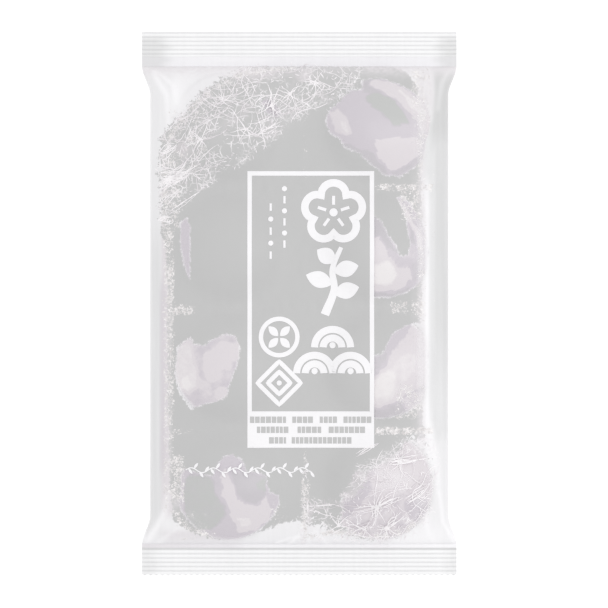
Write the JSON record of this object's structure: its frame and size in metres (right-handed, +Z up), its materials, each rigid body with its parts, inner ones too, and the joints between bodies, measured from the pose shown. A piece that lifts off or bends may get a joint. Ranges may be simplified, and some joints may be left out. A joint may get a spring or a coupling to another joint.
{
  "type": "mochi rice cake pack",
  "caption": "Sealed clear flow pack of round mauve mochi rice cakes on a tray, with crimped end seals and a plain printed panel.",
  "frame": {"origin": "on the resting plane, under the middle of the pack's outline", "axes": "+Z up out of the printed face, +Y along the pack towards its head seal, +X to the right when the printed face is seen with the head up"},
  "size_m": [0.1194, 0.2064, 0.0245],
  "materials": {
    "film": "clear glossy film, white where it is crimped",
    "cake": "soft mauve rice dough dusted with starch",
    "tray": "thin milky thermoformed plastic",
    "print_grey": "flat grey ink under gloss film",
    "print_white": "white ink under gloss film"
  },
  "bodies": {
    "root": {"film_pack": "film"}
  },
  "joints": []
}
